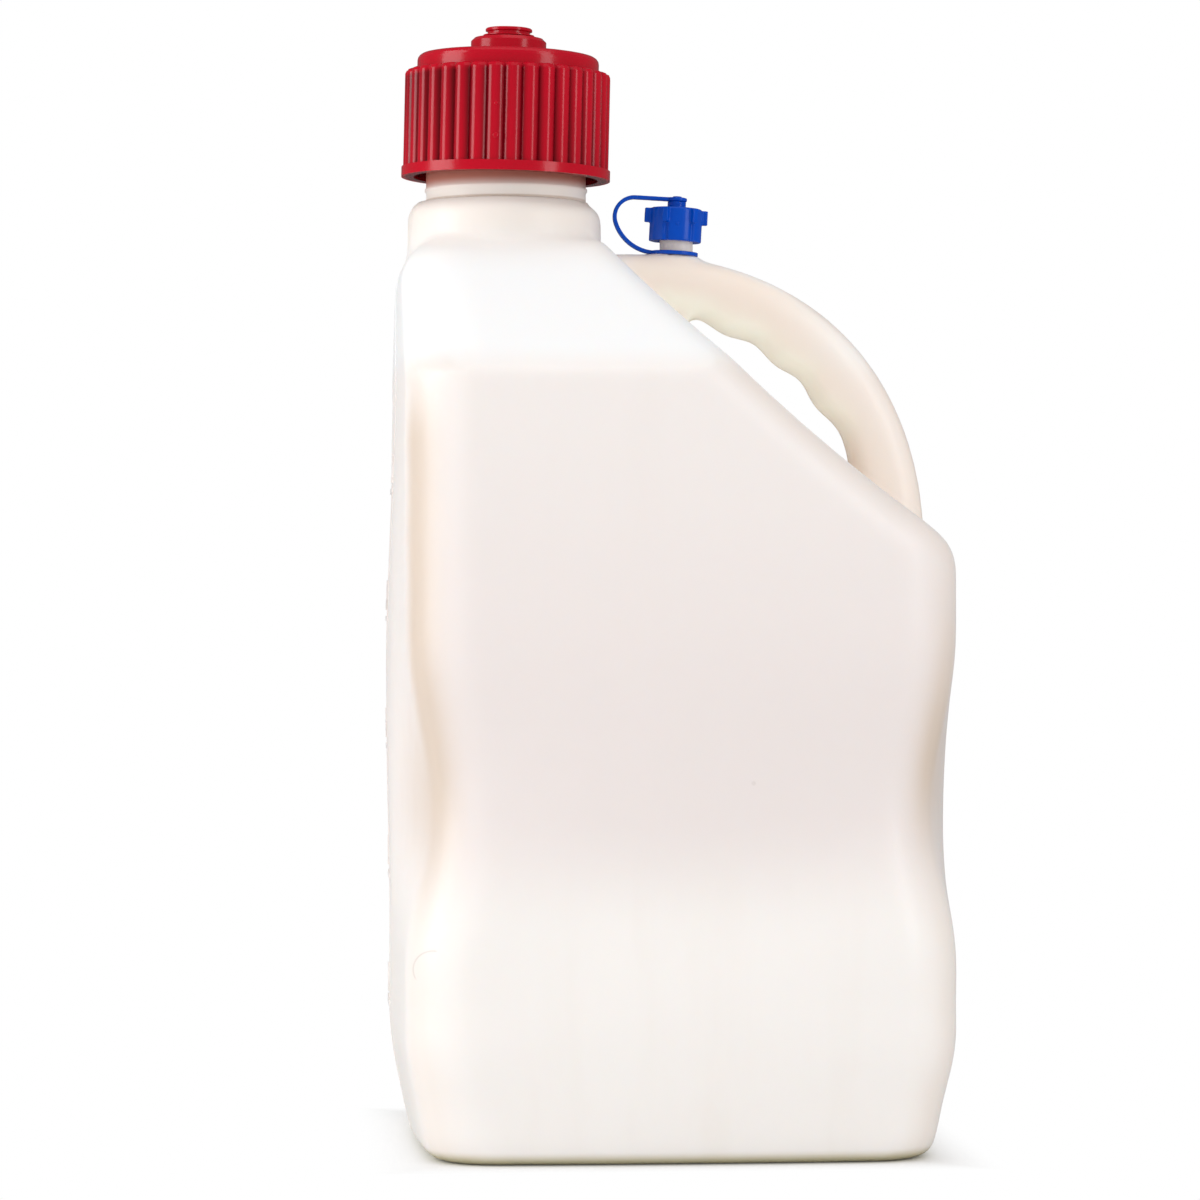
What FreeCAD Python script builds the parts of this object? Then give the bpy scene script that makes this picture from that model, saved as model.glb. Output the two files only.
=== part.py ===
# Utility jug: a square blow-moulded container with a built-in handle, a ribbed screw cap on
# its neck and a small vent cap that a tether holds to the handle.
#
# Millimetres. +Z is up, +X is the handle side and -X the pouring side. The origin is at the
# centre of the base. The mould parts along the XZ plane, so the jug is the same on both
# sides of it.

import FreeCAD, Part
import math
import operator
import os
import types

import Sketcher

Vector = FreeCAD.Vector

# ---------------------------------------------------------------- the sizes

SIZES = [
    # body, in plan
    ("body_width", 260.8, "left to right, between the corners"),
    ("body_depth", 244.0, "near to far, between the corners"),
    ("corner_radius", 34.0, "upright corners"),
    ("side_crown", 5.4, "how far the left and right faces bulge past the corners"),
    ("side_crown_low", 3.6, "the same bulge below the waist"),
    ("side_crown_top", 0.9, "the same bulge under the shoulder"),
    ("front_crown", 4.0, "how far the near and far faces bulge past the corners"),
    ("front_crown_low", 3.2, "the same bulge below the waist"),
    ("front_crown_top", 1.2, "the same bulge under the shoulder"),
    # body, in height
    ("body_height", 436.0, "base to the flat under the collar"),
    ("shoulder_drop", 67.0, "flat top to where the near and far faces begin to lean in"),
    ("bulge_height", 226.0, "where the faces bulge most"),
    ("waist_top", 249.0, "top of the waist"),
    ("waist_height", 162.0, "where the corners are drawn in most"),
    ("waist_bottom", 91.0, "bottom of the waist"),
    ("waist_depth", 8.2, "how far the corners are drawn in"),
    ("valley_height", 130.0, "where the middle of the near face is drawn in most"),
    ("valley_bottom", 76.0, "bottom of that valley"),
    ("valley_depth", 6.4, "how far the middle of the near face is drawn in"),
    ("foot_height", 61.0, "where the sides begin to taper to the base"),
    ("foot_taper", 12.0, "how far they taper in"),
    ("foot_radius", 9.0, "rounding round the base"),
    ("pushup_depth", 3.0, "recess under the base"),
    ("pushup_margin", 34.0, "from the corner planes in to that recess"),
    # shoulder
    ("top_depth", 100.0, "near to far, of the flat under the collar"),
    ("top_corner_radius", 30.0, "upright corners at that flat"),
    ("top_reach", 45.4, "neck to where the flat top turns down into the slope"),
    ("slope_radius", 800.0, "hollow of the slope, seen from the side"),
    ("slope_drop", 147.6, "flat top to the slope at the right-hand corners"),
    ("edge_radius", 22.0, "rounding all round the top and the slope"),
    # neck
    ("neck_inset", 52.0, "left-hand corners in to the centre of the neck"),
    ("neck_lean", 1.3, "degrees that the neck leans to the handle"),
    ("collar_width", 8.0, "collar beyond the plain neck"),
    ("collar_height", 20.0, "flat top to the top of the collar"),
    ("collar_radius", 7.2, "rounding at its top"),
    ("neck_diameter", 78.0, "plain neck over the collar"),
    ("cap_gap", 32.5, "flat top to the underside of the cap"),
    ("thread_depth", 5.5, "plain neck out to its threaded land"),
    ("thread_start", 11.0, "underside of the cap to the threaded land"),
    ("thread_clearance", 0.5, "round the threaded land, in the cap"),
    # handle, in polar terms about its own centre
    ("handle_inset", 2.4, "right-hand corners in to the outside of the handle"),
    ("handle_drop", 4.0, "flat top to the top of the handle's arch"),
    ("handle_radius", 144.0, "centre to the outside of the handle"),
    ("handle_bulge", 4.2, "how much further out it goes between its ends"),
    ("handle_width", 34.0, "near to far"),
    ("handle_corner", 12.6, "rounding of its edges"),
    ("handle_depth", 26.4, "outside to the inside of the grip"),
    ("grip_swell", 3.0, "how far the swells between the fingers stand in"),
    ("grip_first", 24.0, "degrees from upright to the first swell"),
    ("grip_pitch", 14.0, "degrees from swell to swell"),
    ("handle_sink", 18.0, "how far its foot runs down into the right shoulder"),
    ("handle_flare", 14.0, "how far its inside spreads at that end"),
    ("web_width", 22.0, "web that closes the front of the grip"),
    ("web_sink", 3.0, "how far the web runs into the handle and the slope"),
    ("web_end", 33.6, "centre of the handle to the hollow that ends the web"),
    # vent spout on the handle
    ("vent_reach", 21.0, "centre of the handle's arch to the vent spout"),
    ("vent_rise", 0.74, "arch of the handle to the foot of the spout"),
    ("vent_lean", 3.0, "degrees that it leans"),
    ("vent_foot_diameter", 24.0, "disc that it stands on"),
    ("vent_foot_rise", 0.3, "how far that disc stands up"),
    ("spout_diameter", 16.2, "the spout"),
    # screw cap
    ("cap_bore_depth", 47.5, "underside of the cap to the seat on the neck"),
    ("cap_wall", 2.8, "its wall between the lobes"),
    ("rim_width", 0.8, "rim round its foot, beyond the lobes"),
    ("rim_height", 4.8, "its height"),
    ("lobe_rise", 2.4, "how far the lobes stand out of that wall"),
    ("lobe_radius", 5.1, "each lobe"),
    ("lobe_top", 52.0, "top of the lobes"),
    ("lobe_round", 2.0, "rounding at the top of a lobe"),
    ("ledge_height", 51.0, "ledge round the crown"),
    ("ledge_width", 3.45, "that ledge"),
    ("crown_height", 60.0, "top of the crown"),
    ("crown_round", 3.2, "rounding at its edge"),
    ("boss_diameter", 36.8, "round boss in the middle"),
    ("boss_height", 68.7, "its top"),
    ("boss_bevel", 1.7, "bevel at its edge"),
    ("stub_diameter", 20.6, "closed spout on the boss"),
    ("stub_height", 73.6, "its top"),
    ("stub_lip", 22.8, "lip at its top"),
    ("stub_lip_height", 1.9, "height of that lip"),
    ("ridge_diameter", 25.0, "thread ridge under the lip"),
    ("ridge_height", 70.0, "middle of the ridge"),
    ("ridge_width", 1.5, "ridge at its root"),
    # vent cap
    ("vent_cap_gap", 7.2, "foot of the spout to the vent cap"),
    ("vent_cap_diameter", 25.6, "its skirt"),
    ("vent_cap_height", 16.4, "its skirt"),
    ("vent_cap_bevel", 0.8, "bevel round its top"),
    ("vent_bore_depth", 13.4, "underside to the seat on the spout"),
    ("vent_clearance", 0.4, "round the spout"),
    ("lug_turn", 3.5, "degrees from +X to the first lug"),
    ("lug_reach", 31.0, "over the lugs"),
    ("lug_width", 3.0, "each lug"),
    ("lug_start", 8.9, "underside of the vent cap to the lugs"),
    ("lug_height", 7.1, "each lug"),
    ("flute_radius", 1.2, "flute in the skirt under each lug"),
    ("flute_depth", 0.8, "how deep it is cut"),
    ("knob_diameter", 9.0, "knob on the vent cap"),
    ("knob_height", 3.4, "its height"),
    ("pin_diameter", 4.6, "pin that holds the tether's eye"),
    ("pin_head", 0.7, "how far the pin stands over the eye"),
    # tether
    ("strap_thickness", 1.9, "the flat strap"),
    ("strap_width", 4.4, "near to far"),
    ("strap_gap", 6.2, "collar to the far bend of the strap"),
    ("strap_bend", 9.6, "bend at its upper end"),
    ("strap_sweep", 21.0, "wider bend at its lower end"),
    ("strap_clearance", 0.3, "round the spout and round the pin"),
    ("ring_width", 3.2, "ring round the spout"),
    ("ring_gap", 0.15, "disc to the ring"),
    ("eye_width", 2.3, "eye round the pin"),
]

LOBES = 36
LUGS = 6
SWELLS = 3
ROUND_STEPS = 4  # flats in a turned rounding
LOBE_STEPS = 2  # flats in the rounding of a lobe
WEB_HOLLOW = 0.7  # hollow of the web's end, as a share of half its height
SECTION_SPACING = 22.0  # between the sections of the walls, about
TINY = 0.001


class Size:
    """A number, for the first drawing, with the sheet expression that drives it."""

    def __init__(self, value, text=None):
        self.value = float(value)
        self.text = text or repr(float(value))

    def joined(self, other, sign, work, turned=False):
        other = as_size(other)
        left, right = (other, self) if turned else (self, other)
        text = "(" + left.text + " " + sign + " " + right.text + ")"
        return Size(work(left.value, right.value), text)

    def __add__(self, other):
        return self.joined(other, "+", operator.add)

    def __radd__(self, other):
        return self.joined(other, "+", operator.add, True)

    def __sub__(self, other):
        return self.joined(other, "-", operator.sub)

    def __rsub__(self, other):
        return self.joined(other, "-", operator.sub, True)

    def __mul__(self, other):
        return self.joined(other, "*", operator.mul)

    def __rmul__(self, other):
        return self.joined(other, "*", operator.mul, True)

    def __truediv__(self, other):
        return self.joined(other, "/", operator.truediv)

    def __neg__(self):
        return 0 - self


def as_size(number):
    return number if isinstance(number, Size) else Size(number)


def cosine(degrees):
    degrees = as_size(degrees)
    return Size(math.cos(math.radians(degrees.value)), "cos(" + degrees.text + " * 1 deg)")


def sine(degrees):
    degrees = as_size(degrees)
    return Size(math.sin(math.radians(degrees.value)), "sin(" + degrees.text + " * 1 deg)")


def arcsine(ratio):
    ratio = as_size(ratio)
    degrees = math.degrees(math.asin(ratio.value))
    return Size(degrees, "(asin(" + ratio.text + ") / 1 deg)")


def root(number):
    return Size(math.sqrt(number.value), "sqrt(" + number.text + ")")


def bind(thing, prop, size):
    thing.setExpression(prop, as_size(size).text)


doc = FreeCAD.newDocument("utility_jug")
sheet = doc.addObject("Spreadsheet::Sheet", "Sizes")
sizes = types.SimpleNamespace()
for row, (alias, number, note) in enumerate(SIZES, start=1):
    sheet.set("A%d" % row, alias)
    sheet.set("B%d" % row, str(number))
    sheet.setAlias("B%d" % row, alias)
    sheet.set("C%d" % row, note)
    setattr(sizes, alias, Size(number, "Sizes." + alias))
doc.recompute()

# ---------------------------------------------------------------- places that follow from them

half_width = sizes.body_width / 2
half_depth = sizes.body_depth / 2
shoulder_height = sizes.body_height - sizes.shoulder_drop
neck_x = sizes.neck_inset - half_width
slope_start = neck_x + sizes.top_reach
slope_end = sizes.body_height - sizes.slope_drop
handle_x = half_width - sizes.handle_inset - sizes.handle_radius
handle_z = sizes.body_height - sizes.handle_drop - sizes.handle_radius
grip_radius = sizes.handle_radius - sizes.handle_depth
vent_x = handle_x + sizes.vent_reach
vent_arch = sizes.handle_radius * sizes.handle_radius - sizes.vent_reach * sizes.vent_reach
vent_z = handle_z + root(vent_arch) + sizes.vent_rise

# ---------------------------------------------------------------- drawing helpers


def new_body(name):
    body = doc.addObject("PartDesign::Body", name)
    body.Label = name
    return body


def origin_feature(body, role):
    return next(item for item in body.Origin.OriginFeatures if item.Role == role)


def new_sketch(body, name, role, at=(0, 0, 0), turn=None, about=Vector(0, 0, 1)):
    """A sketch on one of the body's origin planes, shifted and turned by bound sizes."""
    sketch = body.newObject("Sketcher::SketchObject", name)
    sketch.AttachmentSupport = [(origin_feature(body, role), "")]
    sketch.MapMode = "FlatFace"
    shift = Vector(*[as_size(part).value for part in at])
    angle = 0.0 if turn is None else turn.value
    sketch.AttachmentOffset = FreeCAD.Placement(shift, FreeCAD.Rotation(about, angle))
    for letter, part in zip("xyz", at):
        if isinstance(part, Size):
            bind(sketch, "AttachmentOffset.Base." + letter, part)
    if turn is not None:
        bind(sketch, "AttachmentOffset.Rotation.Angle", turn)
    return sketch


def dimension(sketch, kind, ends, size):
    """Add one driving dimension and bind it to its size."""
    index = sketch.addConstraint(Sketcher.Constraint(kind, *ends, as_size(size).value))
    bind(sketch, "Constraints[%d]" % index, size)


def place_point(sketch, edge, end, x, y):
    """Dimension a point from the sketch's origin, or put it on an axis where that is 0."""
    for kind, axis, part in (("DistanceX", -2, x), ("DistanceY", -1, y)):
        if as_size(part).text == "0.0":
            sketch.addConstraint(Sketcher.Constraint("PointOnObject", edge, end, axis))
        else:
            dimension(sketch, kind, (-1, 1, edge, end), part)


def arc_between(start, end, radius):
    """The short arc from start to end: to the left for a radius over 0, else to the right."""
    chord = end - start
    left = Vector(-chord.y, chord.x, 0).normalize()
    rise = math.sqrt(max(radius * radius - chord.Length * chord.Length / 4, 0))
    centre = (start + end) / 2 + left * math.copysign(rise, radius)
    first, last = (start, end) if radius > 0 else (end, start)
    angles = [math.atan2(point.y - centre.y, point.x - centre.x) for point in (first, last)]
    circle = Part.Circle(centre, Vector(0, 0, 1), abs(radius))
    return Part.ArcOfCircle(circle, angles[0], angles[1])


def draw_outline(sketch, corners):
    """Close a run of corners. A corner with a third entry is reached by an arc of that radius."""
    corners = [tuple(as_size(part) for part in corner) for corner in corners]
    count = len(corners)
    base = sketch.GeometryCount
    ends = []
    for here, there in zip(corners, corners[1:] + corners[:1]):
        start = Vector(here[0].value, here[1].value, 0)
        end = Vector(there[0].value, there[1].value, 0)
        if len(there) < 3:
            sketch.addGeometry(Part.LineSegment(start, end))
        else:
            sketch.addGeometry(arc_between(start, end, there[2].value))
        backwards = len(there) == 3 and there[2].value < 0
        ends.append((2, 1) if backwards else (1, 2))
    for index in range(count):
        after = (index + 1) % count
        joint = (base + index, ends[index][1], base + after, ends[after][0])
        sketch.addConstraint(Sketcher.Constraint("Coincident", *joint))
        place_point(sketch, base + index, ends[index][0], *corners[index][:2])
        if len(corners[after]) == 3:
            radius = corners[after][2]
            dimension(sketch, "Radius", (base + index,), radius if radius.value > 0 else -radius)


def draw_circle(sketch, radius, x=0, y=0):
    centre = Vector(as_size(x).value, as_size(y).value, 0)
    edge = sketch.addGeometry(Part.Circle(centre, Vector(0, 0, 1), radius.value))
    place_point(sketch, edge, 3, x, y)
    dimension(sketch, "Radius", (edge,), radius)


def rounded_bar(inner, outer, half_width, radius):
    """Corners of a bar with four equal roundings, from inner to outer along x."""
    return [
        (inner + radius, -half_width, radius),
        (outer - radius, -half_width),
        (outer, radius - half_width, radius),
        (outer, half_width - radius),
        (outer - radius, half_width, radius),
        (inner + radius, half_width),
        (inner, half_width - radius, radius),
        (inner, radius - half_width),
    ]


def stepped_round(x, z, radius, steps):
    """Corners of a rounding in short flats, from the upright side at x to the level one at z."""
    corners = []
    for step in range(steps + 1):
        turn = 90.0 * step / steps
        corners.append((x - radius * (1 - cosine(turn)), z - radius * (1 - sine(turn))))
    return corners


def crown_radius(chord, crown):
    """Radius of the arc that rises by crown over a half chord."""
    return (chord * chord + crown * crown) / (crown * 2)


def draw_crowned_ring(sketch, half_x, half_y, crown_x, crown_y, corner):
    """Four bulging sides joined by four tangent corners, centred on the sketch's origin."""
    side = crown_radius(half_y - crown_y - corner, crown_x)
    front = crown_radius(half_x - crown_x - corner, crown_y)
    side_centre = half_x.value - side.value
    front_centre = half_y.value - front.value
    x, y = half_x.value - corner.value, half_y.value - corner.value
    for _ in range(20):
        x = side_centre + math.sqrt((side.value - corner.value) ** 2 - y * y)
        y = front_centre + math.sqrt((front.value - corner.value) ** 2 - x * x)
    low = math.atan2(y, x - side_centre)
    high = math.atan2(y - front_centre, x)
    centres = [(side_centre, 0), (x, y), (0, front_centre), (-x, y)]
    centres += [(-side_centre, 0), (-x, -y), (0, -front_centre), (x, -y)]
    radii = [side, corner, front, corner] * 2
    turns = [-low, low, high, math.pi - high, math.pi - low]
    turns += [math.pi + low, math.pi + high, 2 * math.pi - high, 2 * math.pi - low]
    for centre, radius, start, end in zip(centres, radii, turns, turns[1:]):
        circle = Part.Circle(Vector(centre[0], centre[1], 0), Vector(0, 0, 1), radius.value)
        sketch.addGeometry(Part.ArcOfCircle(circle, start, end))
    for edge in range(8):
        joint = (edge, 2, (edge + 1) % 8, 1)
        sketch.addConstraint(Sketcher.Constraint("Tangent", *joint))
    place_point(sketch, 0, 3, half_x - side, 0)
    place_point(sketch, 4, 3, side - half_x, 0)
    place_point(sketch, 2, 3, 0, half_y - front)
    place_point(sketch, 6, 3, 0, front - half_y)
    for edge in range(8):
        dimension(sketch, "Radius", (edge,), radii[edge])


def tip(body, feature):
    body.Tip = feature
    return feature


def revolve(body, name, sketch):
    feature = body.newObject("PartDesign::Revolution", name)
    feature.Profile = sketch
    feature.ReferenceAxis = (sketch, ["V_Axis"])
    feature.Angle = 360
    return tip(body, feature)


def pad(body, name, sketch, length, both_ways=False):
    feature = body.newObject("PartDesign::Pad", name)
    feature.Profile = sketch
    feature.SideType = "Symmetric" if both_ways else "One side"
    bind(feature, "Length", length)
    return tip(body, feature)


def loft(body, name, sketches):
    feature = body.newObject("PartDesign::AdditiveLoft", name)
    feature.Profile = sketches[0]
    feature.Sections = sketches[1:]
    feature.Ruled = False
    return tip(body, feature)


def pocket_up(body, name, sketch, length):
    """Cut from the sketch towards +Z."""
    feature = body.newObject("PartDesign::Pocket", name)
    feature.Profile = sketch
    feature.Reversed = True
    bind(feature, "Length", length)
    return tip(body, feature)


def polar(body, name, originals, count):
    feature = body.newObject("PartDesign::PolarPattern", name)
    feature.Originals = originals
    feature.Axis = (origin_feature(body, "Z_Axis"), [""])
    feature.Angle = 360
    feature.Occurrences = count
    return tip(body, feature)


def fillet(body, name, base, edge_names, radius):
    feature = body.newObject("PartDesign::Fillet", name)
    feature.Base = (base, edge_names)
    bind(feature, "Radius", radius)
    return tip(body, feature)


def border_edges(shape, is_inside):
    """Names of the edges between the faces that is_inside picks and all the others."""
    inside = [face for face in shape.Faces if is_inside(face)]
    names = []
    for index, edge in enumerate(shape.Edges, start=1):
        owners = [face for face in inside if any(edge.isSame(other) for other in face.Edges)]
        if len(owners) == 1 and not edge.Degenerated:
            names.append("Edge%d" % index)
    return names


# ---------------------------------------------------------------- the jug's walls


def drawn_in(height, bottom, lowest, top, depth):
    """A smooth dip: nothing at bottom and top, depth at the lowest height."""
    span = top - lowest if height.value > lowest.value else lowest - bottom
    share = (height - lowest) / span
    if abs(share.value) >= 1:
        return Size(0)
    return depth * (1 + cosine(180 * share)) / 2


def eased_share(share):
    """Runs smoothly from 0 to 1 as the share does."""
    return (1 - cosine(180 * share)) / 2


def eased(height, start, end, first, last):
    """First at the start height, last at the end height, and a smooth change between."""
    share = (height - start) / (end - start)
    if share.value <= 0:
        return first
    if share.value >= 1:
        return last
    return first + (last - first) * eased_share(share)


def bulge_at(height, low, most, top):
    if height.value < sizes.bulge_height.value:
        return eased(height, sizes.waist_bottom, sizes.bulge_height, low, most)
    return eased(height, sizes.bulge_height, shoulder_height, most, top)


def wall_section(height, taper=Size(0), lean=Size(0), corner=sizes.corner_radius):
    """Half sizes, crowns and corner of the jug's walls at a height."""
    waist = (sizes.waist_bottom, sizes.waist_height, sizes.waist_top, sizes.waist_depth)
    valley = (sizes.valley_bottom, sizes.valley_height, sizes.waist_top, sizes.valley_depth)
    corner_in = drawn_in(height, *waist)
    middle_in = drawn_in(height, *valley)
    side = bulge_at(height, sizes.side_crown_low, sizes.side_crown, sizes.side_crown_top)
    front = bulge_at(height, sizes.front_crown_low, sizes.front_crown, sizes.front_crown_top)
    half_x = half_width + side - taper
    half_y = half_depth + front - middle_in - taper - lean
    return half_x, half_y, side + corner_in, front + corner_in - middle_in, corner


def evenly(start, end, spacing):
    """Places from start to end, as many as keep them about one spacing apart."""
    steps = max(round((end - start).value / spacing), 1)
    return [start + (end - start) * (step / steps) for step in range(steps + 1)]


def lower_sections():
    """The walls from the base to the shoulder. The taper to the base steepens downwards."""
    for height in evenly(Size(0), sizes.foot_height, SECTION_SPACING)[:-1]:
        down = 1 - height / sizes.foot_height
        yield height, wall_section(height, taper=sizes.foot_taper * down * root(down))
    for height in evenly(sizes.foot_height, shoulder_height, SECTION_SPACING):
        yield height, wall_section(height)


def shoulder_sections():
    """The near and far faces lean in from the shoulder to the flat top."""
    yield shoulder_height, wall_section(shoulder_height)
    lean = half_depth + sizes.front_crown_top - sizes.top_depth / 2
    section = wall_section(sizes.body_height, lean=lean, corner=sizes.top_corner_radius)
    yield sizes.body_height, section


def build_walls(body):
    for name, sections in (("Walls", lower_sections()), ("Shoulder", shoulder_sections())):
        sketches = []
        for index, (height, section) in enumerate(sections):
            sketch = new_sketch(body, "%sSection%02d" % (name, index), "XY_Plane", (0, 0, height))
            draw_crowned_ring(sketch, *section)
            sketches.append(sketch)
        feature = loft(body, name, sketches)
    return feature


def slope_chord():
    run = half_width - slope_start
    return root(run * run + sizes.slope_drop * sizes.slope_drop)


def cut_slope(body):
    """Take away all that lies over the slope, and carry its arc on past the right shoulder."""
    sketch = new_sketch(body, "SlopeProfile", "XZ_Plane")
    outside = half_width + sizes.edge_radius
    over = sizes.body_height + sizes.edge_radius
    steepness = sizes.slope_drop / (half_width - slope_start)
    half_chord = slope_chord() / 2
    lift = half_chord / root(sizes.slope_radius * sizes.slope_radius - half_chord * half_chord)
    fall = (steepness - lift) / (1 + steepness * lift)
    draw_outline(sketch, [
        (slope_start, sizes.body_height),
        (half_width, slope_end, sizes.slope_radius),
        (outside, slope_end - sizes.edge_radius * fall),
        (outside, over),
        (slope_start, over),
    ])
    feature = body.newObject("PartDesign::Pocket", "Slope")
    feature.Profile = sketch
    feature.Type = "ThroughAll"
    feature.SideType = "Symmetric"
    return tip(body, feature)


def is_upper_face(face):
    """The flat top and the slope: the faces that are level from near to far."""
    surface = face.Surface
    if isinstance(surface, Part.Plane):
        return abs(surface.Axis.y) < TINY and face.BoundBox.ZMin > slope_end.value / 2
    return isinstance(surface, Part.Cylinder) and abs(surface.Axis.y) > 1 - TINY


def is_base_face(face):
    return isinstance(face.Surface, Part.Plane) and face.BoundBox.ZMax < TINY


def recess_base(body):
    """The shallow recess under the base, so that the jug stands on the border round it."""
    sketch = new_sketch(body, "PushupOutline", "XY_Plane")
    half_x = half_width - sizes.pushup_margin
    half_y = half_depth - sizes.pushup_margin
    crowns = (sizes.side_crown_low, sizes.front_crown_low)
    draw_crowned_ring(sketch, half_x, half_y, *crowns, sizes.corner_radius - sizes.foot_radius)
    return pocket_up(body, "Pushup", sketch, sizes.pushup_depth)


# ---------------------------------------------------------------- the neck and the vent spout

neck_radius = sizes.neck_diameter / 2
rim_height = sizes.cap_gap + sizes.cap_bore_depth
land_radius = neck_radius + sizes.thread_depth
cap_bore = land_radius + sizes.thread_clearance


def add_neck(body):
    """Collar, plain neck and threaded land in one turned profile about the leaning axis."""
    at = (neck_x, sizes.body_height, 0)
    sketch = new_sketch(body, "NeckProfile", "XZ_Plane", at, -sizes.neck_lean)
    collar = neck_radius + sizes.collar_width
    land_start = sizes.cap_gap + sizes.thread_start
    draw_outline(sketch, [
        (0, -sizes.collar_height),
        (collar, -sizes.collar_height),
        *stepped_round(collar, sizes.collar_height, sizes.collar_radius, ROUND_STEPS),
        (neck_radius, sizes.collar_height),
        (neck_radius, land_start),
        (land_radius, land_start + sizes.thread_depth / 2),
        (land_radius, rim_height - sizes.thread_depth),
        (neck_radius, rim_height),
        (0, rim_height),
    ])
    return revolve(body, "Neck", sketch)


def add_vent_spout(body):
    at = (vent_x, vent_z, 0)
    sketch = new_sketch(body, "SpoutProfile", "XZ_Plane", at, -sizes.vent_lean)
    foot = sizes.vent_foot_diameter / 2
    spout = sizes.spout_diameter / 2
    root = sizes.handle_depth / 2
    draw_outline(sketch, [
        (0, -root),
        (spout, -root),
        (foot, sizes.vent_foot_rise - (foot - spout)),
        (foot, sizes.vent_foot_rise),
        (spout, sizes.vent_foot_rise),
        (spout, sizes.vent_cap_gap + sizes.vent_bore_depth),
        (0, sizes.vent_cap_gap + sizes.vent_bore_depth),
    ])
    return revolve(body, "VentSpout", sketch)


# ---------------------------------------------------------------- the handle


def handle_stations():
    """Angle, swell and flare of each section along the handle, from its front to its foot.

    The front end starts inside the body, where the slope begins. All are nearly evenly
    spaced, because the handle's surfaces run smoothly through them.
    """
    spacing = sizes.grip_pitch / 2
    start = arcsine((slope_start - handle_x) / grip_radius)
    first = sizes.grip_first - spacing
    last = first + spacing * (2 * SWELLS)
    end = 90 + arcsine((handle_z - slope_end + sizes.handle_sink) / sizes.handle_radius)
    for angle in evenly(start, first, spacing.value)[:-1]:
        yield angle, 0, 0
    for index in range(2 * SWELLS + 1):
        yield first + spacing * index, index % 2, 0
    for angle in evenly(last, end, spacing.value)[1:]:
        yield angle, 0, eased_share((angle - last) / (end - last))


def add_handle(body):
    """An oval tube swept over the grip: its underside swells between the fingers."""
    sketches = []
    for index, (angle, swell, flare) in enumerate(handle_stations()):
        turn = angle - 90
        at = (handle_x, 0, handle_z)
        name = "HandleSection%02d" % index
        sketch = new_sketch(body, name, "XY_Plane", at, turn, Vector(0, 1, 0))
        bulge = sine(2 * angle)
        outer = sizes.handle_radius + sizes.handle_bulge * bulge * bulge
        inner = grip_radius - sizes.grip_swell * swell - sizes.handle_flare * flare
        draw_outline(sketch, rounded_bar(inner, outer, sizes.handle_width / 2, sizes.handle_corner))
        sketches.append(sketch)
    return loft(body, "Handle", sketches)


def slope_at(x):
    """Height of the slope at x: its chord, less the hollow of its arc under that."""
    run = half_width - slope_start
    chord = slope_chord()
    share = (x - slope_start) / run
    hollow = chord * chord * chord / (sizes.slope_radius * run * 2) * share * (1 - share)
    return sizes.body_height - sizes.slope_drop * share - hollow


def add_web(body):
    """The web under the front of the handle: it fills the narrow end of the gap."""
    sketch = new_sketch(body, "WebProfile", "XZ_Plane")
    end = handle_x + sizes.web_end
    under = handle_z + root(grip_radius * grip_radius - sizes.web_end * sizes.web_end)
    low = slope_at(end) - sizes.web_sink
    high = under + sizes.web_sink
    top = handle_z + grip_radius + sizes.web_sink
    half_gap = (high - low) / 2
    draw_outline(sketch, [
        (slope_start, low),
        (end, low),
        (end, high, -crown_radius(half_gap, half_gap * WEB_HOLLOW)),
        (end, top),
        (slope_start, top),
    ])
    return pad(body, "Web", sketch, sizes.web_width, both_ways=True)


def build_jug():
    body = new_body("jug_body")
    build_walls(body)
    slope = cut_slope(body)
    doc.recompute()
    upper = border_edges(slope.Shape, is_upper_face)
    rounded = fillet(body, "UpperEdges", slope, upper, sizes.edge_radius)
    doc.recompute()
    foot = border_edges(rounded.Shape, is_base_face)
    fillet(body, "FootEdge", rounded, foot, sizes.foot_radius)
    recess_base(body)
    add_neck(body)
    add_handle(body)
    add_web(body)
    add_vent_spout(body)
    return body


# ---------------------------------------------------------------- the screw cap


def lean_body(body, x, z, lean, rise):
    """Stand a body on an axis that leans towards +X, at a distance up that axis."""
    axis = Vector(0, 1, 0)
    place = Vector(x.value, 0, z.value)
    body.Placement = FreeCAD.Placement(place, FreeCAD.Rotation(axis, lean.value))
    bind(body, "Placement.Base.x", x + rise * sine(lean))
    bind(body, "Placement.Base.z", z + rise * cosine(lean))
    bind(body, "Placement.Rotation.Angle", lean)


cap_root = cap_bore + sizes.cap_wall
cap_grip = cap_root + sizes.lobe_rise


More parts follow.
